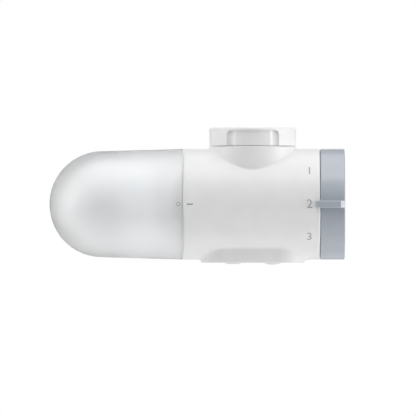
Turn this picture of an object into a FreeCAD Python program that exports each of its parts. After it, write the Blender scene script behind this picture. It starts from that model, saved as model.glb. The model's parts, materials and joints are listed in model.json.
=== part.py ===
import FreeCAD, Part
import math
import os

# A small water filter that screws onto the spout of a kitchen tap and hangs level under it.
# Lengths are in millimetres. X runs along the round body towards the selector knob, Z is up and the
# user stands on the -Y side. While the pieces are made, heights are counted from the axis of the
# round body. save() then lowers every piece, so that the origin ends on the tap's axis, level with
# the rim of the tap adapter.

Vector = FreeCAD.Vector
X_AXIS = Vector(1, 0, 0)
Z_AXIS = Vector(0, 0, 1)
CENTRE = Vector(0, 0, 0)

# Clearances
running_gap = 0.05
slip_gap = 0.1
free_gap = 0.3
seam = 0.3

# Selector valve: a rotor in a barrel, with its outlets side by side
rotor_radius = 12.0
rotor_wall = 5.0
rotor_play = 0.5
rotor_waist = 2.0
rotor_waist_width = 7.0
supply_radius = 3.0
selector_step = 36.0
barrel_wall = 3.45
barrel_end_room = 6.1
outlet_spacing = 19.8

# Housing: a moulded tube with a round collar on top and a pad for the outlets underneath
water_room = 9.65
housing_wall = 2.4
housing_left = -34.6
housing_right = 33.5
end_round = 0.7

collar_step = 0.15
collar_rise = 1.3
collar_wall = 2.4
collar_floor = 1.5
collar_well = 1.35
collar_fillet = 1.2
collar_edge = 0.5

pad_end_room = 9.5
pad_side_room = 9.7
pad_corner = 13.0
pad_rise = 1.6
pad_wall = 2.4
pad_floor = 2.0
pad_draft = 0.14
pad_round = 0.6
pad_fillet = 2.5

# Tap connection, from the thread outwards
tap_thread_radius = 10.46
tap_thread_length = 6.0
tap_washer_height = 1.6
tap_washer_undercut = 0.64
tap_washer_bore = 7.0
adapter_wall = 2.94
adapter_skirt_wall = 2.14
adapter_lip = 4.2
adapter_flange = 1.8
adapter_floor = 1.0
adapter_play = 0.4
adapter_washer_height = 1.5
adapter_washer_inset = 0.6

nut_wall = 3.7
nut_gap = 0.25
nut_lip = 1.8
nut_edge = 1.0
rim_recess = 0.4
grip_count = 3
grip_depth = 0.6
grip_angle = 36.9
grip_floor_angle = 24.1
grip_hollow = 0.5
grip_top_margin = 1.4
grip_corner = 2.5

neck_radius = 12.0
neck_clearance = 0.5
waterway_radius = 7.5
strainer_radius = 10.6
strainer_height = 0.8
strainer_floor = 0.45
strainer_hole = 0.6
strainer_rings = 3
strainer_pitch = 1.9

# Inner moulding
bulkhead = 4.0
flange = 3.5
flange_setback = 3.5
spigot_step = 1.25
spigot_length = 12.0
spigot_wall = 3.0
port_radius = 8.0
port_wall = 3.0
port_length = 9.0
return_bore = 4.0
inlet_boss_wall = 3.0
inlet_hole = 6.0
feed_rise = 2.3
feed_bore = 2.5
feed_wall = 2.0
feed_angle = 100.0
rib_count = 4
rib_thickness = 2.0

# Outlets
outlet_radius = 4.6
outlet_crown = 0.95
outlet_collar = 1.5
outlet_collar_step = 1.6
outlet_rise = 3.0
outlet_boss_wall = 3.0
outlet_bore = 1.9
outlet_flare = 0.8
outlet_flare_depth = 1.2
spray_holes = 6
spray_hole_radius = 0.5
spray_wall = 0.3
spray_well_margin = 0.2
spray_face = 1.5

# Seals
cover_ring = 2.4
cover_ring_seat = 1.4
neck_ring = 1.8
outlet_ring = 1.4
port_ring = 1.5
rotor_ring = 1.9
groove_gap = 0.2

# Cover: a drafted tube that ends in a dome and locks on bayonet lugs
cover_draft = 1.64
cover_wall = 2.6
cover_land_margin = 2.0
cover_edge = 0.3
dome_room = 17.7
lug_count = 4
lug_angle = 40.0
lug_thickness = 2.0
lug_setback = 4.3
lug_play = 0.1
stop_angle = 3.0
stop_gap = 0.5

# Cartridge
cartridge_gap = 1.6
cartridge_start_gap = 0.3
case_wall = 1.6
base_thickness = 3.0
neck_tip_gap = 1.4
neck_bore = 4.5
base_holes = 12
base_hole_radius = 1.6
base_hole_margin = 0.4
wrap_inset = 6.8
wrap_thickness = 1.6
carbon_length = 32.0
carbon_wall = 6.1
core_seat = 1.2
cap_thickness = 2.0

# Selector knob
knob_width = 12.2
knob_gap = 0.2
knob_edge = 0.5
knob_floor = 2.6
knob_wall = 2.0
knob_skirt = 2.3
knob_skirt_wall = 1.6
hub_wall = 3.5
bar_rise = 2.0
bar_height = 3.6
bar_overhang = 2.5
bar_chamfer = 2.2
bar_root = 3.0
scoop_depth = 2.2
scoop_angle = 49.0
scoop_bulge = 1.55

spindle_radius = 5.0
spindle_flat = 1.2
spindle_tip_gap = 0.5
flat_length = 4.3
end_plate = 2.6
end_plate_margin = 0.9
end_plate_spigot = 3.5

screw_count = 3
screw_inset = 0.3
screw_radius = 1.45
screw_head_radius = 2.8
screw_head = 2.0
screw_length = 8.0
screw_boss = 3.4
drive_width = 0.8
drive_depth = 1.1
knob_screw_length = 10.0
head_pocket_gap = 0.4
web_thickness = 2.4
cap_radius = 7.9
cap_pocket = 1.6

# Radii and heights that follow, from the rotor out to the housing and its pad
barrel_bore = rotor_radius + running_gap
barrel_radius = barrel_bore + barrel_wall
core_fit_radius = barrel_radius + water_room
bore_radius = core_fit_radius + slip_gap
housing_radius = bore_radius + housing_wall
spigot_radius = bore_radius - spigot_step
feed_radius = barrel_radius + feed_rise
screw_circle = barrel_radius + screw_inset
end_plate_radius = screw_circle + screw_head_radius + end_plate_margin

outlet_places = [-outlet_spacing / 2, outlet_spacing / 2]
outlet_socket = outlet_radius + running_gap
outlet_top = barrel_radius + outlet_rise
outlet_fit_top = outlet_top - slip_gap
outlet_collar_radius = outlet_radius + outlet_collar_step
spray_circle = outlet_radius - outlet_ring - spray_wall - spray_well_margin - spray_hole_radius
pad_drop = housing_radius + pad_rise
pad_inner = pad_drop - pad_floor
pad_length = outlet_spacing + 2 * (outlet_collar_radius + pad_end_room)
pad_width = 2 * (outlet_collar_radius + pad_side_room)

# The tap connection, from the thread out to the collar, then from its seat up to the nut's top
adapter_hub_radius = tap_thread_radius + adapter_wall
adapter_skirt_radius = tap_thread_radius + adapter_skirt_wall
adapter_flange_radius = adapter_hub_radius + adapter_lip
tap_washer_radius = tap_thread_radius + tap_washer_undercut
thread_radius = adapter_flange_radius + adapter_play
adapter_washer_radius = thread_radius - adapter_washer_inset
mouth_radius = adapter_skirt_radius + adapter_play
nut_radius = thread_radius + running_gap + nut_wall
collar_radius = nut_radius - collar_step

collar_top = housing_radius + collar_rise
fitting_seat = collar_top - collar_well
strainer_bottom = fitting_seat + strainer_floor
mouth_floor = strainer_bottom + strainer_height
adapter_bottom = mouth_floor + adapter_play
tap_washer_bottom = adapter_bottom + adapter_floor
tap_washer_top = tap_washer_bottom + tap_washer_height
rim_height = tap_washer_top + tap_thread_length
nut_top = rim_height + rim_recess
nut_bottom = collar_top + nut_gap
lip_underside = nut_top - nut_lip
flange_top = lip_underside - running_gap
flange_bottom = flange_top - adapter_flange
fitting_top = flange_bottom - adapter_washer_height
neck_bottom = barrel_radius + neck_clearance
socket_radius = neck_radius + running_gap
socket_floor = neck_bottom - slip_gap

# Places along the body, from the barrel to the left end of the cover
barrel_blind_end = outlet_places[0] - barrel_end_room
flange_right = housing_right - flange_setback
flange_left = flange_right - flange
bulkhead_right = housing_left + bulkhead
feed_end = feed_bore + feed_wall
spigot_end = housing_left - spigot_length
port_bore = port_radius + running_gap
port_end = housing_left - port_length

cover_mouth = housing_left - seam
cover_ring_core = spigot_radius - cover_ring_seat
cover_bore = cover_ring_core + cover_ring + running_gap
cover_lug_right = housing_left - lug_setback
cover_lug_left = cover_lug_right - lug_thickness
spigot_lug_right = cover_lug_left - lug_play
spigot_lug_left = spigot_lug_right - lug_thickness
land_end = spigot_lug_left - cover_land_margin

case_start = spigot_end - cartridge_start_gap
base_left = case_start - base_thickness
carbon_end = base_left - carbon_length
cover_tip = carbon_end - cap_thickness - dome_room
neck_tip = housing_left - neck_tip_gap
wrap_radius = spigot_radius - wrap_inset
carbon_radius = wrap_radius - wrap_thickness
carbon_bore = carbon_radius - carbon_wall
core_radius = carbon_bore - free_gap
base_hole_circle = wrap_radius + base_hole_margin + base_hole_radius

# Places along the selector, from the barrel's mouth to the knob's end
rotor_left = barrel_blind_end + rotor_play
rotor_right = flange_right - end_plate_spigot - rotor_play
plate_right = flange_right + end_plate
spindle_bore = spindle_radius + running_gap
flat_height = spindle_radius - spindle_flat
hub_radius = spindle_radius + hub_wall
knob_left = housing_right + knob_gap
knob_right = knob_left + knob_width
cap_floor = knob_right - cap_pocket
head_floor = cap_floor - screw_head - head_pocket_gap
socket_end = head_floor - web_thickness
spindle_right = socket_end - spindle_tip_gap


def solid_face(edges):
    """A flat face inside a closed loop of edges."""
    return Part.Face(Part.Wire(edges))


def outline(points):
    """A flat face inside straight sides from point to point."""
    return Part.Face(Part.makePolygon(points + points[:1]))


def turned_on_x(profile, sweep=360.0):
    """Turn a closed outline, given as (x, radius) corners, about the body's axis."""
    face = outline([Vector(x, 0, radius) for x, radius in profile])
    return face.revolve(CENTRE, X_AXIS, sweep)


def turned_on_z(profile, x=0.0):
    """Turn a closed outline, given as (radius, height) corners, about an upright axis at x."""
    face = outline([Vector(radius, 0, height) for radius, height in profile])
    shape = face.revolve(CENTRE, Z_AXIS, 360.0)
    shape.translate(Vector(x, 0, 0))
    return shape


def rod(radius, start, end, y=0.0, height=0.0):
    """A round bar along X."""
    return Part.makeCylinder(radius, end - start, Vector(start, y, height), X_AXIS)


def post(radius, bottom, top, x=0.0, y=0.0):
    """A round bar that stands upright."""
    return Part.makeCylinder(radius, top - bottom, Vector(x, y, bottom), Z_AXIS)


def sleeve(outer, inner, start, end):
    """A tube along X."""
    return rod(outer, start, end).cut(rod(inner, start, end))


def washer(outer, inner, bottom, top):
    """A flat ring that lies level."""
    return post(outer, bottom, top).cut(post(inner, bottom, top))


def round_the_axis(shape, count, axis, first=0.0):
    """Copies of a shape at even angles about X or Z."""
    copies = []
    for number in range(count):
        copy = shape.copy()
        copy.rotate(CENTRE, axis, first + number * 360.0 / count)
        copies.append(copy)
    return copies


def ring_on_x(core, thickness, x):
    """An O-ring that sits on a round core along X."""
    return Part.makeTorus(core + thickness / 2, thickness / 2, Vector(x, 0, 0), X_AXIS)


def ring_on_z(core, thickness, height, x=0.0):
    """An O-ring that sits on an upright round core."""
    return Part.makeTorus(core + thickness / 2, thickness / 2, Vector(x, 0, height), Z_AXIS)


def groove_on_x(outside, core, thickness, x):
    """The groove that an O-ring on X lies in, as a tube to cut away."""
    half = thickness / 2 + groove_gap
    return sleeve(outside + slip_gap, core, x - half, x + half)


def groove_on_z(outside, core, thickness, height, x=0.0):
    """The groove that an upright O-ring lies in, as a tube to cut away."""
    half = thickness / 2 + groove_gap
    cutter = washer(outside + slip_gap, core, height - half, height + half)
    cutter.translate(Vector(x, 0, 0))
    return cutter


def arc(first, middle, last):
    """A round edge through three points."""
    return Part.Arc(first, middle, last).toShape()


def pan_screw(length):
    """A pan head screw along X with a cross drive: its shank points to -X from the origin."""
    head = rod(screw_head_radius, 0, screw_head)
    head = head.makeFillet(screw_head / 3, [head.Edges[0]])
    shank = rod(screw_radius, -length, 0)
    slot = Part.makeBox(drive_depth, drive_width, 2 * screw_radius)
    slot.translate(Vector(screw_head - drive_depth, -drive_width / 2, -screw_radius))
    cross = slot.copy()
    cross.rotate(CENTRE, X_AXIS, 90)
    return head.fuse(shank).cut([slot, cross])


def rounded_rectangle(length, width, corner, height):
    """A level rectangle with round corners, as a wire."""
    block = Part.makeBox(length, width, 1, Vector(-length / 2, -width / 2, height))
    upright = [e for e in block.Edges if abs(e.tangentAt(e.FirstParameter).z) > 0.9]
    block = block.makeFillet(corner, upright)
    low = min(block.Faces, key=lambda face: face.CenterOfMass.z)
    return low.OuterWire


def drafted_pad(inset, bottom):
    """The outlet pad's outside, or its hollow when inset: wider towards the top."""
    spread = 2 * pad_draft * (bottom + pad_drop)
    rise = -bottom
    length = pad_length - 2 * inset
    width = pad_width - 2 * inset
    corner = pad_corner - inset
    low = rounded_rectangle(length + spread, width + spread, corner + spread / 2, bottom)
    more = spread + 2 * pad_draft * rise
    high = rounded_rectangle(length + more, width + more, corner + more / 2, 0)
    return Part.makeLoft([low, high], True, True)


def edges_near(shape, test):
    """The edges whose middle passes a test."""
    return [edge for edge in shape.Edges if test(edge)]


def meets_tube(edge):
    """Whether both ends and the middle of an edge lie on the housing's tube, away from its ends."""
    if edge.Degenerated:
        return False
    middle = edge.valueAt((edge.FirstParameter + edge.LastParameter) / 2)
    spots = [vertex.Point for vertex in edge.Vertexes] + [middle]
    on_tube = all(abs(math.hypot(spot.y, spot.z) - housing_radius) < 0.01 for spot in spots)
    inside = all(housing_left + 0.1 < spot.x < housing_right - 0.1 for spot in spots)
    return on_tube and inside


def lies_level(edge, height):
    """Whether an edge lies level at a height."""
    box = edge.BoundBox
    return not edge.Degenerated and max(abs(box.ZMin - height), abs(box.ZMax - height)) < 0.05


def is_circle(edge, radius=None):
    """Whether an edge is a circle, of the given radius if one is given."""
    if edge.Degenerated or not isinstance(edge.Curve, Part.Circle):
        return False
    return radius is None or abs(edge.Curve.Radius - radius) < 0.01


def make_housing():
    """Outer shell with collar and outlet pad, hollow all through."""
    tube = rod(housing_radius, housing_left, housing_right)
    body = tube.fuse(post(collar_radius, 0, collar_top))
    body = body.makeFillet(collar_fillet, edges_near(body, lambda e: meets_tube(e) and e.CenterOfMass.z > 0))
    body = body.fuse(drafted_pad(0, -pad_drop))
    body = body.makeFillet(pad_round, edges_near(body, lambda e: lies_level(e, -pad_drop)))
    body = body.makeFillet(pad_fillet, edges_near(body, lambda e: meets_tube(e) and e.CenterOfMass.z < 0))
    hollow = rod(bore_radius, housing_left - pad_length, housing_right + pad_length)
    collar_hollow = post(collar_radius - collar_wall, 0, fitting_seat - collar_floor)
    well = post(thread_radius + free_gap, fitting_seat, collar_top + 1)
    neck_hole = post(neck_radius + slip_gap, 0, collar_top + 1)
    pad_hollow = drafted_pad(pad_wall, -pad_inner)
    outlet_holes = [post(outlet_radius + slip_gap, -pad_drop - 1, 0, x) for x in outlet_places]
    body = body.cut([hollow, collar_hollow, well, neck_hole, pad_hollow] + outlet_holes)
    top = edges_near(body, lambda e: is_circle(e, collar_radius) and e.CenterOfMass.z > collar_top - 0.1)
    body = body.makeFillet(collar_edge, top)
    ends = edges_near(body, lambda e: is_circle(e, housing_radius) and abs(e.Curve.Axis.x) > 0.9)
    return body.makeFillet(end_round, ends)


def lugs(inner, outer, right, left, sweep, first):
    """Bayonet lugs round the body's axis, each turned through a sweep from its first angle."""
    lug = turned_on_x([(left, inner), (right, inner), (right, outer), (left, outer)], sweep)
    return round_the_axis(lug, lug_count, X_AXIS, first)


def spigot_lugs():
    """The spigot's lugs, each with a stop at its end that the cover's lug meets both ways."""
    inner = spigot_radius - 1
    outer = cover_bore - 2 * slip_gap
    stop_first = lug_angle / 2 + stop_gap
    whole = lug_angle / 2 + stop_first + stop_angle
    holds = lugs(inner, outer, spigot_lug_right, spigot_lug_left, whole, -lug_angle / 2)
    stops = lugs(inner, outer, cover_lug_right, spigot_lug_left, stop_angle, stop_first)
    return [hold.fuse(stop).removeSplitter() for hold, stop in zip(holds, stops)]


def make_valve_body():
    """Inner moulding: spigot with bayonet lugs, cartridge port, bulkhead, barrel, bosses and ribs."""
    solid = rod(barrel_radius, housing_left, flange_right)
    inlet_boss = post(socket_radius + inlet_boss_wall, 0, core_fit_radius)
    outlet_bosses = [post(outlet_socket + outlet_boss_wall, -core_fit_radius, 0, x) for x in outlet_places]
    discs = [
        rod(core_fit_radius, housing_left, bulkhead_right),
        rod(core_fit_radius, flange_left, flange_right),
        rod(spigot_radius, spigot_end, housing_left),
    ]
    rib = Part.makeBox(flange_left - housing_left, rib_thickness, core_fit_radius)
    rib.translate(Vector(housing_left, -rib_thickness / 2, 0))
    ribs = round_the_axis(rib, rib_count, X_AXIS, 45.0)
    screw_boss_rod = rod(screw_boss, flange_right - screw_length, flange_right, 0, screw_circle)
    screw_bosses = round_the_axis(screw_boss_rod, screw_count, X_AXIS, 60.0)
    feed = rod(feed_bore + feed_wall, housing_left, feed_end, 0, feed_radius)
    feed.rotate(CENTRE, X_AXIS, feed_angle)
    solid = solid.fuse([inlet_boss] + outlet_bosses + discs + ribs + screw_bosses + [feed])
    solid = solid.common(rod(core_fit_radius, spigot_end, flange_right))
    solid = solid.fuse(spigot_lugs())

    spigot_bore = spigot_radius - spigot_wall
    port_outside = port_radius + port_wall
    spigot_hollow = turned_on_x(
        [
            (spigot_end - 1, 0),
            (spigot_end - 1, spigot_bore),
            (housing_left, spigot_bore),
            (housing_left, port_outside),
            (port_end, port_outside),
            (port_end, 0),
        ]
    )
    port = rod(port_bore, port_end - 1, housing_left)
    return_way = rod(return_bore, housing_left, barrel_blind_end)
    chamber = rod(barrel_bore, barrel_blind_end, flange_right)
    socket = post(socket_radius, socket_floor, core_fit_radius + 1)
    inlet = post(inlet_hole, 0, socket_floor)
    cuts = [spigot_hollow, port, return_way, chamber, socket, inlet]
    for x in outlet_places:
        cuts.append(post(outlet_socket, -core_fit_radius - 1, -outlet_fit_top, x))
        cuts.append(post(outlet_bore, -outlet_fit_top, 0, x))
    feed_way = rod(feed_bore, housing_left, feed_bore, 0, feed_radius)
    feed_branch = post(feed_bore, 0, feed_radius)
    for cutter in (feed_way, feed_branch):
        cutter.rotate(CENTRE, X_AXIS, feed_angle)
        cuts.append(cutter)
    screw_way = rod(screw_radius, flange_right - screw_length, flange_right, 0, screw_circle)
    cuts += round_the_axis(screw_way, screw_count, X_AXIS, 60.0)
    cuts.append(groove_on_x(spigot_radius, cover_ring_core, cover_ring, cover_ring_x()))
    return solid.cut(cuts)


def cover_ring_x():
    """Where the cover's O-ring lies, just inside the bulkhead's face."""
    return housing_left - groove_gap - slip_gap - cover_ring / 2 - seam


def make_inlet_fitting():
    """Threaded nipple that clamps the collar and carries the tap adapter."""
    neck_core = neck_radius - neck_ring
    blank = turned_on_z(
        [
            (waterway_radius, neck_bottom),
            (neck_radius, neck_bottom),
            (neck_radius, fitting_seat),
            (thread_radius, fitting_seat),
            (thread_radius, fitting_top),
            (mouth_radius, fitting_top),
            (mouth_radius, mouth_floor),
            (strainer_radius, mouth_floor),
            (strainer_radius, strainer_bottom),
            (waterway_radius, strainer_bottom),
        ]
    )
    return blank.cut(groove_on_z(neck_radius, neck_core, neck_ring, neck_ring_height()))


def neck_ring_height():
    """Height of the O-ring on the nipple's neck, in the middle of its socket."""
    return (neck_bottom + core_fit_radius) / 2


def make_strainer():
    """Pierced steel disc, with holes on circles."""
    disc = post(strainer_radius, strainer_bottom, mouth_floor)
    holes = [post(strainer_hole, strainer_bottom, mouth_floor)]
    for ring in range(1, strainer_rings + 1):
        hole = post(strainer_hole, strainer_bottom, mouth_floor, ring * strainer_pitch)
        holes += round_the_axis(hole, 6 * ring, Z_AXIS)
    return disc.cut(holes)


def make_adapter():
    """Brass ring: female tap thread, clamping flange, and a floor under the tap washer."""
    return turned_on_z(
        [
            (tap_thread_radius, rim_height),
            (adapter_hub_radius, rim_height),
            (adapter_hub_radius, flange_top),
            (adapter_flange_radius, flange_top),
            (adapter_flange_radius, flange_bottom),
            (adapter_skirt_radius, flange_bottom),
            (adapter_skirt_radius, adapter_bottom),
            (tap_washer_bore, adapter_bottom),
            (tap_washer_bore, tap_washer_bottom),
            (tap_washer_radius, tap_washer_bottom),
            (tap_washer_radius, tap_washer_top),
            (tap_thread_radius, tap_washer_top),
        ]
    )


def grip_cutter():
    """One grip on the nut's -Y side: a slightly sunk panel between two finger hollows."""
    floor_radius = nut_radius - grip_depth
    outside = nut_radius + 1
    bottom = nut_bottom - 1
    top = nut_top - grip_top_margin

    def spot(radius, degrees):
        angle = math.radians(degrees)
        return Vector(radius * math.sin(angle), -radius * math.cos(angle), bottom)

    middle = (grip_angle + grip_floor_angle) / 2
    flank = floor_radius - grip_hollow
    foot_left = spot(floor_radius, -grip_floor_angle)
    foot_right = spot(floor_radius, grip_floor_angle)
    edge_left = spot(nut_radius, -grip_angle)
    edge_right = spot(nut_radius, grip_angle)
    face = solid_face(
        [
            arc(foot_left, spot(floor_radius, 0), foot_right),
            arc(foot_right, spot(flank, middle), edge_right),
            Part.makeLine(edge_right, spot(outside, grip_angle)),
            arc(spot(outside, grip_angle), spot(outside, 0), spot(outside, -grip_angle)),
            Part.makeLine(spot(outside, -grip_angle), edge_left),
            arc(edge_left, spot(flank, -middle), foot_left),
        ]
    )
    half = edge_right.x
    window = Part.makeBox(2 * half, outside, top - bottom, Vector(-half, -outside, bottom))
    corners = edges_near(window, lambda e: abs(e.CenterOfMass.x) > half - 0.1 and lies_level(e, top))
    return face.extrude(Vector(0, 0, top - bottom)).common(window.makeFillet(grip_corner, corners))


def make_nut():
    """Nut with a lip that draws the adapter's flange down, and three grips."""
    blank = post(nut_radius, nut_bottom, nut_top)
    top_edge = edges_near(blank, lambda e: is_circle(e) and e.CenterOfMass.z > nut_top - 0.1)
    blank = blank.makeFillet(nut_edge, top_edge)
    thread_way = post(thread_radius + running_gap, nut_bottom, lip_underside)
    opening = post(adapter_hub_radius + free_gap, nut_bottom, nut_top)
    grips = round_the_axis(grip_cutter(), grip_count, Z_AXIS)
    return blank.cut([thread_way, opening] + grips)


def outlet_blank():
    """Outlet nozzle body: crowned face below, holding collar inside the pad, stem above."""
    crown = Part.makeSphere(crown_radius(), Vector(0, 0, crown_radius() - pad_drop - outlet_crown))
    stem = post(outlet_radius, -pad_drop - outlet_crown, -outlet_top).common(
        crown.fuse(post(outlet_radius, -pad_inner, -outlet_top))
    )
    stem = stem.fuse(post(outlet_collar_radius, -pad_inner, -pad_inner + outlet_collar))
    groove = groove_on_z(outlet_radius, outlet_radius - outlet_ring, outlet_ring, outlet_ring_height())
    return stem.cut(groove)


def crown_radius():
    """Radius of the outlet's crowned face, from its width and its rise."""
    return (outlet_radius ** 2 + outlet_crown ** 2) / (2 * outlet_crown)


def outlet_ring_height():
    """Height of the O-ring on an outlet's stem, in the middle of its socket."""
    return -(outlet_top + core_fit_radius) / 2


def make_filtered_outlet():
    """Single straight jet."""
    nozzle = outlet_blank()
    face_height = -pad_drop - outlet_crown
    bore = post(outlet_bore, face_height - 1, 0)
    mouth = Part.makeCone(
        outlet_bore + outlet_flare, outlet_bore, outlet_flare_depth, Vector(0, 0, face_height), Z_AXIS
    )
    nozzle = nozzle.cut([bore, mouth])
    nozzle.translate(Vector(outlet_places[0], 0, 0))
    return nozzle


def make_spray_outlet():
    """Closed face with a ring of fine jets."""
    nozzle = outlet_blank()
    well = post(spray_circle + spray_hole_radius + spray_well_margin, -pad_drop + spray_face, 0)
    jet = post(spray_hole_radius, -pad_drop - outlet_crown, -pad_drop + spray_face, spray_circle)
    centre_jet = post(spray_hole_radius, -pad_drop - outlet_crown, -pad_drop + spray_face)
    nozzle = nozzle.cut([well, centre_jet] + round_the_axis(jet, spray_holes, Z_AXIS))
    nozzle.translate(Vector(outlet_places[1], 0, 0))
    return nozzle


def make_outlet_rings():
    """One O-ring on each outlet stem."""
    core = outlet_radius - outlet_ring
    return Part.makeCompound([ring_on_z(core, outlet_ring, outlet_ring_height(), x) for x in outlet_places])


def make_end_plate():
    """Plate that shuts the barrel and guides the spindle."""
    plate = rod(end_plate_radius, flange_right, plate_right)
    plate = plate.fuse(rod(rotor_radius, flange_right - end_plate_spigot, flange_right))
    hole = rod(screw_radius + slip_gap, flange_right, plate_right, 0, screw_circle)
    holes = round_the_axis(hole, screw_count, X_AXIS, 60.0)
    return plate.cut([rod(spindle_bore, flange_right - end_plate_spigot, plate_right)] + holes)


def make_end_plate_screws():
    """Three equal screws through the end plate."""
    screw = pan_screw(screw_length)
    screw.translate(Vector(plate_right, 0, screw_circle))
    return Part.makeCompound(round_the_axis(screw, screw_count, X_AXIS, 60.0))


def dome_radius():
    """Radius of the cover's dome, tangent to its drafted side and level with the housing at the mouth."""
    draft = math.radians(cover_draft)
    reach = cover_mouth - cover_tip
    side = housing_radius - reach * math.tan(draft)
    return side / (math.cos(draft) - math.tan(draft) * (1 - math.sin(draft)))


def dome_centre():
    """X of the dome's centre."""
    return cover_tip + dome_radius()


def domed_edges(inset, start, start_radius):
    """Side and dome of a drafted bullet shape that lies inset from the cover's outside."""
    draft = math.radians(cover_draft)
    radius = dome_radius() - inset
    centre = dome_centre()
    joint = Vector(centre - radius * math.sin(draft), 0, radius * math.cos(draft))
    half = math.radians(45 + cover_draft / 2)
    bend = Vector(centre - radius * math.sin(half), 0, radius * math.cos(half))
    tip = Vector(centre - radius, 0, 0)
    side = Part.makeLine(Vector(start, 0, start_radius), joint)
    return side, arc(joint, bend, tip)


def side_radius(inset, x):
    """Radius of the drafted side at x, for a bullet shape inset from the cover's outside."""
    draft = math.radians(cover_draft)
    radius = dome_radius() - inset
    joint_x = dome_centre() - radius * math.sin(draft)
    return radius * math.cos(draft) + (x - joint_x) * math.tan(draft)


def make_cover():
    """Clear dome with a cylindrical land for the seal and lugs that point inwards."""
    outer_side, outer_dome = domed_edges(0, cover_mouth, housing_radius)
    inner_side, inner_dome = domed_edges(cover_wall, land_end, side_radius(cover_wall, land_end))
    tip = Vector(cover_tip, 0, 0)
    inner_tip = Vector(cover_tip + cover_wall, 0, 0)
    mouth = Vector(cover_mouth, 0, cover_bore)
    land = Vector(land_end, 0, cover_bore)
    face = solid_face(
        [
            outer_side,
            outer_dome,
            Part.makeLine(tip, inner_tip),
            inner_dome,
            inner_side,
            Part.makeLine(Vector(land_end, 0, side_radius(cover_wall, land_end)), land),
            Part.makeLine(land, mouth),
            Part.makeLine(mouth, Vector(cover_mouth, 0, housing_radius)),
        ]
    )
    shell = face.revolve(CENTRE, X_AXIS, 360.0)
    inner_lug = spigot_radius + slip_gap * 1.5
    shell = shell.fuse(
        lugs(inner_lug, cover_bore + 1, cover_lug_right, cover_lug_left, lug_angle, -lug_angle / 2)
    )
    rim = edges_near(
        shell, lambda e: is_circle(e, housing_radius) and abs(e.CenterOfMass.x - cover_mouth) < 0.01
    )
    return shell.makeFillet(cover_edge, rim)


def make_cartridge_base():
    """Foot of the cartridge: neck with ring grooves, pierced disc and the carbon's seat."""
    case_inset = cover_wall + cartridge_gap
    near_radius = side_radius(case_inset, case_start) - case_wall
    far_radius = side_radius(case_inset, base_left) - case_wall - running_gap
    blank = turned_on_x([(base_left, 0), (case_start, 0), (case_start, near_radius), (base_left, far_radius)])
    blank = blank.fuse(rod(port_radius, case_start, neck_tip))
    blank = blank.fuse(rod(core_radius, base_left - core_seat, base_left))
    cuts = [rod(neck_bore, base_left - core_seat, neck_tip)]
    hole = rod(base_hole_radius, base_left, case_start, 0, base_hole_circle)
    cuts += round_the_axis(hole, base_holes, X_AXIS)
    core = port_radius - port_ring
    cuts += [groove_on_x(port_radius, core, port_ring, x) for x in cartridge_ring_places()]
    return blank.cut(cuts)


def cartridge_ring_places():
    """X of the two O-rings on the cartridge's neck, at thirds of the port."""
    return [housing_left - port_length / 3, housing_left - 2 * port_length / 3]


def make_cartridge_rings():
    """The two O-rings on the cartridge's neck."""
    core = port_radius - port_ring
    return Part.makeCompound([ring_on_x(core, port_ring, x) for x in cartridge_ring_places()])


def make_cartridge_case():
    """White capsule with a domed end, which shows through the cover."""
    outside = cover_wall + cartridge_gap
    inside = outside + case_wall
    outer_side, outer_dome = domed_edges(outside, case_start, side_radius(outside, case_start))
    inner_side, inner_dome = domed_edges(inside, case_start, side_radius(outside, case_start) - case_wall)
    tip = Vector(cover_tip + outside, 0, 0)
    inner_tip = Vector(cover_tip + inside, 0, 0)
    mouth = Part.makeLine(
        Vector(case_start, 0, side_radius(outside, case_start) - case_wall),
        Vector(case_start, 0, side_radius(outside, case_start)),
    )
    face = solid_face([outer_side, outer_dome, Part.makeLine(tip, inner_tip), inner_dome, inner_side, mouth])
    return face.revolve(CENTRE, X_AXIS, 360.0)


def make_core_cap():
    """Cap on the carbon's far end."""
    cap = rod(wrap_radius, carbon_end - cap_thickness, carbon_end)
    return cap.fuse(rod(core_radius, carbon_end, carbon_end + core_seat))


def make_rotor():
    """Ported rotor: a waist that the tap's water fills, a hollow for the filtered water, a spindle."""
    blank = rod(rotor_radius, rotor_left, rotor_right)
    spindle = rod(spindle_radius, rotor_right, spindle_right)
    side = Part.makeBox(flat_length, 2 * spindle_radius, spindle_radius)
    side.translate(Vector(spindle_right - flat_length, -spindle_radius, flat_height))
    spindle = spindle.cut(round_the_axis(side, 2, X_AXIS))
    blank = blank.fuse(spindle)
    hollow = rod(rotor_radius - rotor_wall, rotor_left, outlet_places[0] + outlet_bore + rotor_ring)
    waist_core = rotor_radius - rotor_waist
    waist = sleeve(rotor_radius + 1, waist_core, -rotor_waist_width / 2, rotor_waist_width / 2)
    supply = post(supply_radius, 0, rotor_radius + 1)
    filtered_way = post(outlet_bore, -rotor_radius - 1, 0, outlet_places[0])
    bypass = post(outlet_bore, -rotor_radius - 1, 0, outlet_places[1])
    bypass.rotate(CENTRE, X_AXIS, selector_step)
    bypass_way = rod(outlet_bore, 0, outlet_places[1])
    tapped = rod(screw_radius, spindle_right - knob_screw_length, spindle_right)
    core = rotor_radius - rotor_ring
    grooves = [groove_on_x(rotor_radius, core, rotor_ring, x) for x in rotor_ring_places()]
    return blank.cut([hollow, waist, supply, filtered_way, bypass, bypass_way, tapped] + grooves)


def rotor_ring_places():
    """X of the rotor's O-rings: one each side of both outlets."""
    reach = outlet_bore + rotor_ring
    return [x + side * reach for x in outlet_places for side in (-1, 1)]


def make_rotor_rings():
    """Equal O-rings on the rotor."""
    core = rotor_radius - rotor_ring
    return Part.makeCompound([ring_on_x(core, rotor_ring, x) for x in rotor_ring_places()])


def on_side(radius, degrees):
    """A point on the knob's end outline: degrees are counted upwards from the user's side."""
    angle = math.radians(degrees)
    return Vector(0, -radius * math.cos(angle), radius * math.sin(angle))


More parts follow.
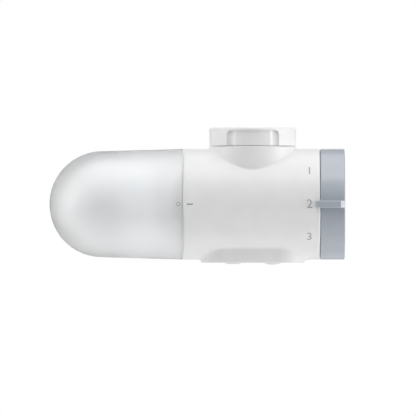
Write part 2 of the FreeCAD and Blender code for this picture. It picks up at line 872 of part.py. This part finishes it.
def knob_round():
    """The knob's round body with the scoop below the bar, its end rims rounded."""
    half = bar_height / 2
    foot_angle = math.degrees(math.asin(half / housing_radius))
    foot = on_side(housing_radius, foot_angle)
    root = Vector(0, -(housing_radius - scoop_depth), -half)
    end = on_side(housing_radius, -scoop_angle)
    chord = end - root
    outward = Vector(0, chord.z, -chord.y).normalize()
    if outward.y > 0:
        outward = outward * -1
    belly = (root + end) / 2 + outward * scoop_bulge
    back = on_side(housing_radius, 180 - scoop_angle / 2 + foot_angle / 2)
    face = solid_face([Part.makeLine(foot, root), arc(root, belly, end), arc(end, back, foot)])
    face.translate(Vector(knob_left, 0, 0))
    body = face.extrude(Vector(knob_width, 0, 0))
    return body.makeFillet(knob_edge, body.Edges)


def knob_bar():
    """The thumb bar: its tip reaches over the housing's end, and its other end slopes to the rim."""
    half = bar_height / 2
    tip = knob_left - bar_overhang
    front = -housing_radius - bar_rise
    side = Part.makePolygon(
        [
            Vector(tip, front, -half),
            Vector(knob_right - bar_chamfer, front, -half),
            Vector(knob_right, -housing_radius, -half),
            Vector(knob_right, -housing_radius + bar_root, -half),
            Vector(knob_left, -housing_radius + bar_root, -half),
            Vector(knob_left, -housing_radius - free_gap, -half),
            Vector(tip, -housing_radius - free_gap, -half),
            Vector(tip, front, -half),
        ]
    )
    bar = Part.Face(side).extrude(Vector(0, 0, bar_height))
    front_edges = edges_near(bar, lambda e: e.BoundBox.YMax < front + 0.01)
    return bar.makeFillet(knob_edge, front_edges)


def knob_blank():
    """The knob's outside."""
    return knob_round().fuse(knob_bar()).removeSplitter()


def make_knob():
    """Selector knob: hollow cup with a hub, a skirt inside the housing and a thumb bar."""
    cavity_radius = housing_radius - scoop_depth - knob_wall
    cup = knob_blank().cut(rod(cavity_radius, knob_left, knob_right - knob_floor))
    skirt_radius = bore_radius - 4 * slip_gap
    skirt_inside = skirt_radius - knob_skirt_wall
    skirt = sleeve(skirt_radius, skirt_inside, knob_left - knob_skirt, knob_left + knob_wall)
    hub = rod(hub_radius, plate_right + 1, knob_right - knob_floor)
    cup = cup.fuse([skirt, hub])
    socket = rod(spindle_bore, plate_right, socket_end)
    flats = Part.makeBox(socket_end - plate_right, 2 * spindle_bore, 2 * (flat_height + running_gap))
    flats.translate(Vector(plate_right, -spindle_bore, -flat_height - running_gap))
    round_way = rod(spindle_bore, plate_right, spindle_right - flat_length + slip_gap)
    keyed = socket.common(flats).fuse(round_way)
    screw_way = rod(screw_radius + slip_gap, plate_right, knob_right)
    head_way = rod(screw_head_radius + slip_gap, head_floor, knob_right)
    cap_way = rod(cap_radius + slip_gap, cap_floor, knob_right)
    return cup.cut([keyed, screw_way, head_way, cap_way])


def bar_end_cutter():
    """Wedge that slopes the thumb bar's end away."""
    face = outline(
        [
            Vector(knob_right + 1, -housing_radius - bar_rise - 1, 0),
            Vector(knob_right - bar_chamfer, -housing_radius - bar_rise - 1, 0),
            Vector(knob_right - bar_chamfer, -housing_radius - bar_rise, 0),
            Vector(knob_right, -housing_radius, 0),
            Vector(knob_right + 1, -housing_radius, 0),
        ]
    )
    face.translate(Vector(0, 0, -housing_radius))
    return face.extrude(Vector(0, 0, 2 * housing_radius))


def make_knob_screw():
    """Screw from the knob into the spindle."""
    screw = pan_screw(knob_screw_length)
    screw.translate(Vector(head_floor, 0, 0))
    return screw


def make_knob_cap():
    """Disc that covers the knob's screw, with a rounded rim."""
    cap = rod(cap_radius, cap_floor, knob_right - slip_gap)
    rim = edges_near(cap, lambda e: is_circle(e) and e.CenterOfMass.x > cap_floor + 0.1)
    return cap.makeFillet(knob_edge, rim)


PIECES = {
    "housing": make_housing,
    "valve_body": make_valve_body,
    "inlet_fitting": make_inlet_fitting,
    "inlet_ring": lambda: ring_on_z(neck_radius - neck_ring, neck_ring, neck_ring_height()),
    "inlet_strainer": make_strainer,
    "adapter_washer": lambda: washer(
        adapter_washer_radius, adapter_skirt_radius + free_gap, fitting_top, flange_bottom
    ),
    "faucet_adapter": make_adapter,
    "tap_washer": lambda: washer(tap_washer_radius, tap_washer_bore, tap_washer_bottom, tap_washer_top),
    "faucet_nut": make_nut,
    "filtered_outlet": make_filtered_outlet,
    "spray_outlet": make_spray_outlet,
    "outlet_rings": make_outlet_rings,
    "valve_end_plate": make_end_plate,
    "end_plate_screws": make_end_plate_screws,
    "cover_seal": lambda: ring_on_x(cover_ring_core, cover_ring, cover_ring_x()),
    "filter_cover": make_cover,
    "cartridge_base": make_cartridge_base,
    "cartridge_rings": make_cartridge_rings,
    "cartridge_case": make_cartridge_case,
    "prefilter_wrap": lambda: sleeve(wrap_radius, carbon_radius, carbon_end, base_left),
    "carbon_block": lambda: sleeve(carbon_radius, carbon_bore, carbon_end, base_left),
    "membrane_core": lambda: rod(core_radius, carbon_end + core_seat, base_left - core_seat),
    "core_cap": make_core_cap,
    "valve_rotor": make_rotor,
    "rotor_rings": make_rotor_rings,
    "selector_knob": make_knob,
    "knob_screw": make_knob_screw,
    "knob_cap": make_knob_cap,
}


def save(name, shape):
    """Lower a piece onto the tap's frame and write its file."""
    shape.translate(Vector(0, 0, -rim_height))
    shape.exportStep("parts/" + name + ".step")


os.makedirs("parts", exist_ok=True)
for piece_name, make_piece in PIECES.items():
    save(piece_name, make_piece())
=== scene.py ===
import json
import math

import bmesh
import bpy
from mathutils import Matrix, Vector


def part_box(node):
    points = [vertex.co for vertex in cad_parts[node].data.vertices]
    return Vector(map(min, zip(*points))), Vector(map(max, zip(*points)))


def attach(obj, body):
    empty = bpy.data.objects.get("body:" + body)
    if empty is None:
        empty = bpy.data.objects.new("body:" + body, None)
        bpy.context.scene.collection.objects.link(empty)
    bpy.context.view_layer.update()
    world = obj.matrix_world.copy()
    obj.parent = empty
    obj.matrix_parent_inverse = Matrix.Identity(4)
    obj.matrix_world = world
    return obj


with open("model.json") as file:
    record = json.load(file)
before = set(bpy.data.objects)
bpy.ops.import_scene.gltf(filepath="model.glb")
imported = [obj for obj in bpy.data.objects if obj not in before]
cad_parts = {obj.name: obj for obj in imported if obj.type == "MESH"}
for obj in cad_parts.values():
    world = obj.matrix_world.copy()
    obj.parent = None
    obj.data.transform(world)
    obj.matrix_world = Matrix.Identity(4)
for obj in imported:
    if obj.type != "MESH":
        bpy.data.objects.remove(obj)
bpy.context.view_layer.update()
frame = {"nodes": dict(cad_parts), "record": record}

# The looks of a small water filter that screws onto a kitchen tap. Metres, with X along the round
# body towards the selector knob, Z up along the tap's axis, and the user on the -Y side.

MM = 0.001
nodes = frame["nodes"]

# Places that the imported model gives
cover_low, cover_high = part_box("filter_cover")
housing_low, housing_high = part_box("housing")
axis_height = (cover_low.z + cover_high.z) / 2
body_radius = (cover_high.z - cover_low.z) / 2
cover_draft = math.tan(math.radians(1.64))  # the cover's wall narrows a little towards its dome
dome_radius = (body_radius - cover_draft * (cover_high.x - cover_low.x)) / (1 - cover_draft)

# Surfaces. The cover's walls are frosted down to outer_skin, and polished from inner_skin inwards.
noise_range = (0.3, 0.7)
tone_stops = (0.35, 0.65)
gloss_spread = 0.03
outer_skin = 0.8 * MM
inner_skin = 1.2 * MM
frosted_rough = 0.65
polished_rough = 0.3

# Print, with half its thickness above the plastic and half in it
print_lift = 0.03 * MM
strip_height = 0.4 * MM
numeral_size = 6.2 * MM
numeral_x = 28.15 * MM
numeral_angles = (37.0, 0.0, -36.0)
dash_length = 3.0 * MM
dash_width = 0.5 * MM
dash_inset = 1.75 * MM
ring_mark_radius = 1.0 * MM
ring_mark_line = 0.3 * MM
ring_mark_inset = 2.2 * MM
ring_mark_segments = 48
numeral_curve_steps = 4
weld_distance = 0.001 * MM

# Studio: the photograph shows 208 mm across, seen level and from far away
view_centre = Vector((-22.35 * MM, 0, -39.75 * MM))
frame_width = 208 * MM
sensor_width = 36.0
lens = 800.0
world_level = 0.53
floor_height = -0.60
floor_size = 12.0
floor_paint = "#F0F0F0"
floor_lift = 0.57  # light that the floor adds of its own where the camera sees it
floor_mirrored = 0.53  # the share of it that gloss and clear plastic show

# Softboxes: azimuth from the user's side towards +X, elevation, distance and size in metres, watts
softboxes = {
    "overhead": (0, 90, 1.1, 0.5, 1.6),
    "top_front": (0, 62, 1.1, 0.5, 2.7),
    "top_back": (0, 118, 1.1, 0.5, 0.85),
    "left_high": (-60, 45, 1.1, 0.45, 0.9),
    "left_side": (-80, 5, 1.1, 0.6, 3.0),
    "right_side": (80, 5, 1.1, 0.6, 5.3),
    "right_front": (55, 5, 1.1, 0.45, 0.7),
    "low_right": (50, -68, 0.5, 0.3, 0.3),
    "low_left": (-50, -68, 0.5, 0.3, 0.2),
}

# Cards, seen only in reflections: width, height, Y and Z of the middle in metres, tilt, paint
cards = {
    "front_card": (3.2, 3.2, -2.2, -0.75, 90, "#3C3C3C"),
    "back_card": (3.6, 1.2, 1.1, 1.0, 135, "#A8A8A8"),
    "low_card": (1.5, 0.5, 0.9, -0.16, 75, "#A8A8A8"),
}


# Colours and shader nodes

def linear(hex_colour):
    """An sRGB hex colour as the linear RGBA that shaders take."""
    channels = [int(hex_colour[i:i + 2], 16) / 255 for i in (1, 3, 5)]
    return [c / 12.92 if c <= 0.04045 else ((c + 0.055) / 1.055) ** 2.4 for c in channels] + [1.0]


def add(tree, kind, settings=None, **links):
    """Add a node, set its properties or sockets, and link named sockets to other nodes' outputs."""
    node = tree.nodes.new(kind)
    for name, value in (settings or {}).items():
        if name in node.inputs:
            node.inputs[name].default_value = value
        else:
            setattr(node, name, value)
    for name, output in links.items():
        tree.links.new(output, node.inputs[name.replace("_", " ")])
    return node


def start(name):
    """A new material with an empty tree and its output."""
    material = bpy.data.materials.new(name)
    material.use_nodes = True
    tree = material.node_tree
    tree.nodes.clear()
    output = tree.nodes.new("ShaderNodeOutputMaterial")
    return material, tree, output


def object_place(tree):
    """The Object coordinates, in metres."""
    return add(tree, "ShaderNodeTexCoord").outputs["Object"]


def noise(tree, place, size, detail=2.0):
    """Cloudy noise whose features are about size metres across."""
    settings = {"Scale": 1 / size, "Detail": detail}
    return add(tree, "ShaderNodeTexNoise", settings, Vector=place).outputs["Fac"]


def spread(tree, value, low, high):
    """Noise from its usual range mapped onto another."""
    settings = {"From Min": noise_range[0], "From Max": noise_range[1], "To Min": low, "To Max": high}
    return add(tree, "ShaderNodeMapRange", settings, Value=value).outputs["Result"]


def two_tone(tree, value, dark, light):
    """A colour between two close tones, led by noise."""
    ramp = add(tree, "ShaderNodeValToRGB", Fac=value)
    for element, stop, colour in zip(ramp.color_ramp.elements, tone_stops, (dark, light)):
        element.position = stop
        element.color = linear(colour)
    return ramp.outputs["Color"]


def bump(tree, height, depth):
    """Surface relief of a real depth in metres."""
    settings = {"Strength": 1.0, "Distance": depth}
    return add(tree, "ShaderNodeBump", settings, Height=height).outputs["Normal"]


def moulded(name, dark, light, rough, grain, depth, **sockets):
    """Moulded plastic or rubber: two close tones, uneven gloss and a fine grain of a real size."""
    material, tree, output = start(name)
    place = object_place(tree)
    flow = noise(tree, place, 9 * MM, 3.0)
    texture = noise(tree, place, grain, 4.0)
    settings = {socket.replace("_", " "): value for socket, value in sockets.items()}
    shader = add(
        tree,
        "ShaderNodeBsdfPrincipled",
        settings,
        Base_Color=two_tone(tree, flow, dark, light),
        Roughness=spread(tree, texture, rough - gloss_spread, rough + gloss_spread),
        Normal=bump(tree, texture, depth),
    )
    tree.links.new(shader.outputs["BSDF"], output.inputs["Surface"])
    return material


def white_abs():
    """Satin-gloss injection moulded ABS: clean neutral white, soft wide highlights."""
    gloss = {"Specular_IOR_Level": 0.3}
    return moulded("white_abs_moulded", "#EFEFEF", "#F2F2F2", 0.34, 0.5 * MM, 0.0015 * MM, **gloss)


def inner_moulding():
    """Polypropylene, plain moulded: dull white."""
    return moulded("filled_pp_moulded", "#ECEDEE", "#F1F2F3", 0.5, 0.3 * MM, 0.004 * MM, IOR=1.49)


def outlet_plastic():
    """Acetal nozzles, moulded: matt white with a waxy sheen."""
    return moulded("acetal_moulded", "#DADADA", "#E2E2E2", 0.42, 0.3 * MM, 0.002 * MM, IOR=1.48)


def cartridge_white():
    """Polypropylene capsule, moulded: milky white, slightly dull."""
    return moulded("capsule_pp_moulded", "#F4F5F6", "#F8F9F9", 0.45, 0.4 * MM, 0.003 * MM, IOR=1.49)


def knob_abs():
    """ABS with a fine spark-eroded texture: blue-grey, satin."""
    gloss = {"IOR": 1.5, "Coat_Weight": 0.45, "Coat_Roughness": 0.35}
    return moulded("knob_abs_satin", "#ACB3BC", "#B0B7C0", 0.32, 0.25 * MM, 0.0015 * MM, **gloss)


def rubber():
    """EPDM seals, compression moulded: near black, dull with a faint bloom."""
    return moulded("epdm_rubber_moulded", "#17181A", "#1F2022", 0.55, 0.4 * MM, 0.006 * MM, IOR=1.52)


def silicone():
    """Food-grade silicone, compression moulded: milky white, slightly tacky sheen."""
    return moulded("silicone_moulded", "#E9E9E7", "#EFEFED", 0.48, 0.4 * MM, 0.003 * MM, IOR=1.42)


def carbon():
    """Pressed activated carbon: black grit about half a millimetre across."""
    return moulded("pressed_carbon", "#0E0E0F", "#1B1B1C", 0.85, 0.6 * MM, 0.08 * MM)


def felt():
    """Needle-punched polyester felt: white, soft, with fibres about 0.3 mm apart."""
    return moulded("needle_felt", "#DEDED9", "#EBEBE7", 0.95, 0.3 * MM, 0.05 * MM, Sheen_Weight=0.4)


def membrane():
    """Potted hollow fibres: cream, waxy."""
    return moulded("potted_fibres", "#DDD6C6", "#E6E0D2", 0.5, 0.5 * MM, 0.02 * MM)


def stainless():
    """Rolled stainless steel: grey metal with fine rolling streaks along X."""
    material, tree, output = start("stainless_rolled")
    stretch = {"Scale": (0.1, 1.0, 1.0)}
    along = add(tree, "ShaderNodeMapping", stretch, Vector=object_place(tree)).outputs["Vector"]
    streaks = noise(tree, along, 0.15 * MM, 3.0)
    shader = add(
        tree,
        "ShaderNodeBsdfPrincipled",
        {"Metallic": 1.0},
        Base_Color=two_tone(tree, streaks, "#B4B5B7", "#C4C5C7"),
        Roughness=spread(tree, streaks, 0.24, 0.34),
        Normal=bump(tree, streaks, 0.001 * MM),
    )
    tree.links.new(shader.outputs["BSDF"], output.inputs["Surface"])
    return material


def chrome():
    """Bright chromed brass: mirror with a faint polishing haze."""
    material, tree, output = start("chromed_brass_polished")
    haze = noise(tree, object_place(tree), 2 * MM, 4.0)
    shader = add(
        tree,
        "ShaderNodeBsdfPrincipled",
        {"Metallic": 1.0},
        Base_Color=two_tone(tree, haze, "#D8DADD", "#DFE1E4"),
        Roughness=spread(tree, haze, 0.07, 0.14),
        Normal=bump(tree, haze, 0.0006 * MM),
    )
    tree.links.new(shader.outputs["BSDF"], output.inputs["Surface"])
    return material


def frosted_cover():
    """Clear AS plastic from an etched tool: frosted outside, polished inside, so the capsule shows."""
    material, tree, output = start("as_frosted_moulded")
    place = object_place(tree)
    flow = noise(tree, place, 12 * MM, 2.0)
    etch = noise(tree, place, 0.2 * MM, 3.0)
    depth = depth_in_cover(tree, place)
    inside = {
        "From Min": outer_skin,
        "From Max": inner_skin,
        "To Min": frosted_rough,
        "To Max": polished_rough,
    }
    polish = add(tree, "ShaderNodeMapRange", inside, Value=depth)
    shader = add(
        tree,
        "ShaderNodeBsdfPrincipled",
        {"Transmission Weight": 0.95, "IOR": 1.5},
        Base_Color=two_tone(tree, flow, "#F8F9FA", "#FCFCFC"),
        Roughness=polish.outputs["Result"],
        Normal=bump(tree, etch, 0.002 * MM),
    )
    tree.links.new(shader.outputs["BSDF"], output.inputs["Surface"])
    return material


def depth_in_cover(tree, place):
    """How far a point lies inside the cover's outer surface, half a drafted capsule along X."""
    centre = (cover_low.x + dome_radius, 0.0, axis_height)
    offset = add(tree, "ShaderNodeVectorMath", {"operation": "SUBTRACT"}, Vector=place)
    offset.inputs[1].default_value = centre
    parts = add(tree, "ShaderNodeSeparateXYZ", Vector=offset.outputs["Vector"]).outputs
    left = add(tree, "ShaderNodeMath", {"operation": "MINIMUM"}, Value=parts["X"]).outputs["Value"]
    across = add(tree, "ShaderNodeCombineXYZ", X=left, Y=parts["Y"], Z=parts["Z"]).outputs["Vector"]
    reach = add(tree, "ShaderNodeVectorMath", {"operation": "LENGTH"}, Vector=across).outputs["Value"]
    right = add(tree, "ShaderNodeMath", {"operation": "SUBTRACT"}, Value=parts["X"])
    tree.links.new(left, right.inputs[1])
    outside = add(tree, "ShaderNodeMath", {"operation": "MULTIPLY_ADD"}, Value=right.outputs["Value"])
    outside.inputs[1].default_value = cover_draft
    outside.inputs[2].default_value = dome_radius
    depth = add(tree, "ShaderNodeMath", {"operation": "SUBTRACT"}, Value=outside.outputs["Value"])
    tree.links.new(reach, depth.inputs[1])
    return depth.outputs["Value"]


def print_ink(name, dark, light):
    """Pad-printed ink: dull, a little uneven where it lies on the plastic."""
    return moulded(name, dark, light, 0.6, 0.15 * MM, 0.002 * MM)


MAKERS = {
    "white_abs": white_abs,
    "inner_moulding": inner_moulding,
    "outlet_plastic": outlet_plastic,
    "cartridge_white": cartridge_white,
    "frosted_cover": frosted_cover,
    "knob_abs": knob_abs,
    "chromed_brass": chrome,
    "stainless": stainless,
    "rubber": rubber,
    "silicone": silicone,
    "felt": felt,
    "carbon": carbon,
    "membrane": membrane,
}


def dress_cad_nodes():
    """Give each CAD node the material of its slot."""
    made = {slot: maker() for slot, maker in MAKERS.items()}
    for part in frame["record"]["subparts"]:
        mesh = nodes[part["node"]].data
        mesh.materials.clear()
        mesh.materials.append(made[part["material_slot"]])


# New pieces

def piece(name, bm, material, body):
    """Finish a mesh as an object that rides on a body."""
    mesh = bpy.data.meshes.new(name)
    bm.to_mesh(mesh)
    bm.free()
    mesh.materials.append(material)
    mesh.shade_smooth()
    obj = bpy.data.objects.new(name, mesh)
    bpy.context.scene.collection.objects.link(obj)
    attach(obj, body)
    return obj


def lay_on_body(bm, x, degrees, slope=0.0):
    """Wrap flat work, drawn in X and Y with its thickness in Z, round the body at x and an angle."""
    low = min(vertex.co.y for vertex in bm.verts)
    high = max(vertex.co.y for vertex in bm.verts)
    for step in range(1, math.ceil((high - low) / strip_height)):
        everything = bm.verts[:] + bm.edges[:] + bm.faces[:]
        bmesh.ops.bisect_plane(
            bm, geom=everything, plane_co=(0, low + step * strip_height, 0), plane_no=(0, 1, 0)
        )
    for vertex in bm.verts:
        along, up, out = vertex.co
        radius = body_radius + slope * (x + along - cover_high.x)
        angle = math.radians(degrees) + up / radius
        reach = radius + out
        vertex.co = Vector((x + along, -reach * math.cos(angle), axis_height + reach * math.sin(angle)))
    bmesh.ops.recalc_face_normals(bm, faces=bm.faces)


def make_numeral(number, degrees, material):
    """A plain printed numeral beside one of the knob's three positions."""
    name = "numeral_" + str(number)
    curve = bpy.data.curves.new(name, "FONT")
    curve.body = str(number)
    curve.size = numeral_size
    curve.align_x = "CENTER"
    curve.align_y = "CENTER"
    curve.extrude = print_lift
    curve.resolution_u = numeral_curve_steps
    text = bpy.data.objects.new(name + "_text", curve)
    mesh = bpy.data.meshes.new_from_object(text)
    bm = bmesh.new()
    bm.from_mesh(mesh)
    bpy.data.objects.remove(text)
    bpy.data.meshes.remove(mesh)
    bmesh.ops.remove_doubles(bm, verts=bm.verts, dist=weld_distance)
    lay_on_body(bm, numeral_x, degrees)
    return piece(name, bm, material, "housing")


def make_dash(material):
    """The printed index line on the housing, level with the cover's ring mark."""
    bm = bmesh.new()
    bmesh.ops.create_cube(bm, size=1.0)
    bmesh.ops.scale(bm, vec=(dash_length, dash_width, 2 * print_lift), verts=bm.verts)
    lay_on_body(bm, housing_low.x + dash_inset + dash_length / 2, 0.0)
    return piece("index_dash", bm, material, "housing")


def make_ring_mark(material):
    """The small ring printed on the cover, which meets the dash when the bayonet is locked."""
    bm = bmesh.new()
    bmesh.ops.create_circle(bm, segments=ring_mark_segments, radius=ring_mark_radius)
    bmesh.ops.translate(bm, vec=(0, 0, -print_lift), verts=bm.verts)
    spun = bmesh.ops.extrude_edge_only(bm, edges=bm.edges[:])
    inner = [v for v in spun["geom"] if isinstance(v, bmesh.types.BMVert)]
    share = 1 - ring_mark_line / ring_mark_radius
    bmesh.ops.scale(bm, vec=(share, share, 1.0), verts=inner)
    raised = bmesh.ops.extrude_face_region(bm, geom=bm.faces[:], use_keep_orig=True)
    upper = [v for v in raised["geom"] if isinstance(v, bmesh.types.BMVert)]
    bmesh.ops.translate(bm, vec=(0, 0, 2 * print_lift), verts=upper)
    lay_on_body(bm, cover_high.x - ring_mark_inset, 0.0, cover_draft)
    return piece("ring_mark", bm, material, "cover")


# Studio

def make_camera():
    """A long lens straight in front of the body, a little below its axis."""
    data = bpy.data.cameras.new("camera")
    data.sensor_width = sensor_width
    data.lens = lens
    camera = bpy.data.objects.new("camera", data)
    camera.location = view_centre - Vector((0, frame_width * lens / sensor_width, 0))
    camera.rotation_euler = (math.radians(90), 0, 0)
    bpy.context.scene.collection.objects.link(camera)
    bpy.context.scene.camera = camera


def seen_directly(tree, mirrored=1.0):
    """1 for a ray straight from the camera, a share for one by gloss or clear plastic, else 0."""
    path = add(tree, "ShaderNodeLightPath")
    total = path.outputs["Is Camera Ray"]
    for kind in ("Is Glossy Ray", "Is Transmission Ray"):
        share = add(tree, "ShaderNodeMath", {"operation": "MULTIPLY"}, Value=path.outputs[kind])
        share.inputs[1].default_value = mirrored
        both = add(tree, "ShaderNodeMath", {"operation": "MAXIMUM"})
        tree.links.new(total, both.inputs[0])
        tree.links.new(share.outputs["Value"], both.inputs[1])
        total = both.outputs["Value"]
    return total


def make_world():
    """White where it is seen, and a plain pale grey where it lights the object."""
    world = bpy.data.worlds.new("studio")
    world.use_nodes = True
    bpy.context.scene.world = world
    tree = world.node_tree
    tree.nodes.clear()
    output = tree.nodes.new("ShaderNodeOutputWorld")
    white = add(tree, "ShaderNodeBackground", {"Color": (1, 1, 1, 1), "Strength": 1.0})
    soft = add(tree, "ShaderNodeBackground", {"Color": (1, 1, 1, 1), "Strength": world_level})
    mix = add(tree, "ShaderNodeMixShader", Fac=seen_directly(tree))
    tree.links.new(soft.outputs["Background"], mix.inputs[1])
    tree.links.new(white.outputs["Background"], mix.inputs[2])
    tree.links.new(mix.outputs["Shader"], output.inputs["Surface"])


def board(name, width, height, place, turn, material):
    """A stage board, turned about X."""
    bm = bmesh.new()
    bmesh.ops.create_grid(bm, x_segments=1, y_segments=1, size=0.5)
    bmesh.ops.scale(bm, vec=(width, height, 1.0), verts=bm.verts)
    tilt = Matrix.Rotation(math.radians(turn), 3, "X")
    bmesh.ops.rotate(bm, cent=(0, 0, 0), matrix=tilt, verts=bm.verts)
    bmesh.ops.translate(bm, vec=place, verts=bm.verts)
    mesh = bpy.data.meshes.new(name)
    bm.to_mesh(mesh)
    bm.free()
    mesh.materials.append(material)
    made = bpy.data.objects.new(name, mesh)
    bpy.context.scene.collection.objects.link(made)
    return made


def make_floor():
    """Pale matt floor that keeps the shadow, white where it is seen and clear from underneath."""
    material, tree, output = start("floor_paint")
    paint = add(tree, "ShaderNodeBsdfDiffuse", {"Color": linear(floor_paint)})
    glow = add(tree, "ShaderNodeEmission", {"Color": (1, 1, 1, 1)})
    lift = add(tree, "ShaderNodeMath", {"operation": "MULTIPLY"})
    tree.links.new(seen_directly(tree, floor_mirrored), lift.inputs[0])
    lift.inputs[1].default_value = floor_lift
    tree.links.new(lift.outputs["Value"], glow.inputs["Strength"])
    both = add(tree, "ShaderNodeAddShader")
    tree.links.new(paint.outputs["BSDF"], both.inputs[0])
    tree.links.new(glow.outputs["Emission"], both.inputs[1])
    below = add(tree, "ShaderNodeNewGeometry").outputs["Backfacing"]
    open_below = add(tree, "ShaderNodeMixShader", Fac=below)
    tree.links.new(both.outputs["Shader"], open_below.inputs[1])
    tree.links.new(add(tree, "ShaderNodeBsdfTransparent").outputs["BSDF"], open_below.inputs[2])
    tree.links.new(open_below.outputs["Shader"], output.inputs["Surface"])
    board("floor", floor_size, floor_size, (0, 0, floor_height), 0, material)


def make_cards():
    """Grey cards round the filter, which give its near side and its outlines their grey."""
    for name, (width, height, y, z, turn, colour) in cards.items():
        material, tree, output = start(name + "_paint")
        paint = add(tree, "ShaderNodeBsdfDiffuse", {"Color": linear(colour)})
        tree.links.new(paint.outputs["BSDF"], output.inputs["Surface"])
        card = board(name, width, height, (view_centre.x, y, z), turn, material)
        card.visible_camera = False
        card.visible_shadow = False


def softbox(name, azimuth, elevation, distance, size, power):
    """A square lamp round the body, aimed at its middle."""
    data = bpy.data.lights.new(name, "AREA")
    data.shape = "SQUARE"
    data.size = size
    data.energy = power
    lamp = bpy.data.objects.new(name, data)
    around, up = math.radians(azimuth), math.radians(elevation)
    out = Vector((math.sin(around) * math.cos(up), -math.cos(around) * math.cos(up), math.sin(up)))
    lamp.location = Vector((view_centre.x, 0, axis_height)) + distance * out
    lamp.rotation_euler = out.to_track_quat("Z", "Y").to_euler()
    lamp.visible_camera = False
    bpy.context.scene.collection.objects.link(lamp)


dress_cad_nodes()
ink = print_ink("pad_print_grey", "#A0A2A5", "#A8AAAD")
dark_ink = print_ink("pad_print_dark", "#7C7E81", "#858789")
for number, degrees in enumerate(numeral_angles, 1):
    make_numeral(number, degrees, ink)
make_dash(dark_ink)
make_ring_mark(ink)
make_camera()
make_world()
make_floor()
make_cards()
for name, settings in softboxes.items():
    softbox(name, *settings)
bpy.context.scene.view_settings.view_transform = "Standard"
